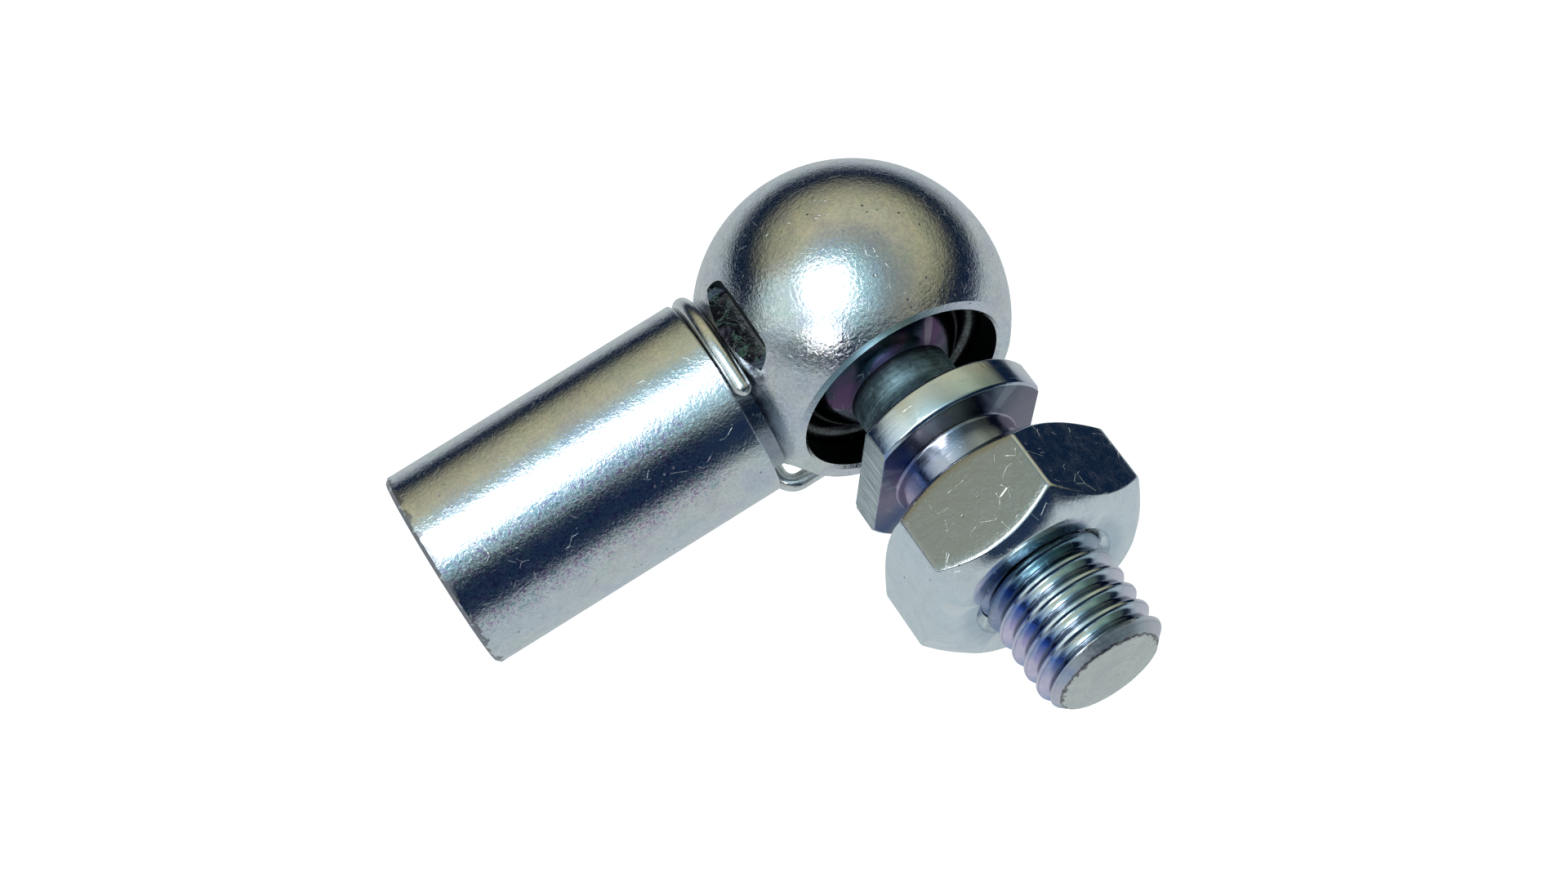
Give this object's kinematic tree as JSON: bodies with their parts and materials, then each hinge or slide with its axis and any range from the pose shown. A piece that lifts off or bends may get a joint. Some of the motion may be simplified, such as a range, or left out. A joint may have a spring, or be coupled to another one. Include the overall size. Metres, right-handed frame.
{
  "type": "angle ball joint",
  "caption": "Right-angle ball joint: a tapped shank with a round socket head holds a ball stud with wrench flats, a snap ring, a wire safety clip and a hex nut.",
  "frame": {"origin": "centre of the shank's threaded end face, on the threaded hole's axis", "axes": "+X along the shank, out of the threaded hole; +Z along the ball stud at rest, from the ball to the stud's threaded end; +Y completes the right-handed frame, towards the side where the safety clip's leg enters the head. The ball's centre is at x = -29.2 mm"},
  "size_m": [0.0389, 0.0194, 0.0385],
  "materials": {
    "zinc_housing": "blue-passivated zinc plating, satin, fine pits and handling scratches",
    "zinc_stud": "blue-passivated zinc plating, glossy on the thread, brushed on the wrench flats",
    "zinc_nut": "blue-passivated zinc plating, slightly green, scratched flats",
    "spring_wire": "spring steel wire, semi-gloss",
    "clip_wire": "zinc-plated spring steel wire, glossy"
  },
  "bodies": {
    "housing": {"socket_housing": "zinc_housing", "safety_clip": "clip_wire"},
    "ring": {"snap_ring": "spring_wire"},
    "stud": {"ball_stud": "zinc_stud"},
    "nut": {"hex_nut": "zinc_nut"}
  },
  "joints": [
    {"name": "ring_turn", "type": "hinge", "parent": "housing", "child": "ring", "pos_m": [-0.0292, 0, 0], "axis": [0, 0, 1], "continuous": true},
    {"name": "stud_tilt", "type": "hinge", "parent": "ring", "child": "stud", "pos_m": [-0.0292, 0, 0], "axis": [0, 1, 0], "range_deg": [-18, 18]},
    {"name": "nut_travel", "type": "slide", "parent": "stud", "child": "nut", "axis": [0, 0, 1], "range_m": [0, 0.0125]}
  ]
}
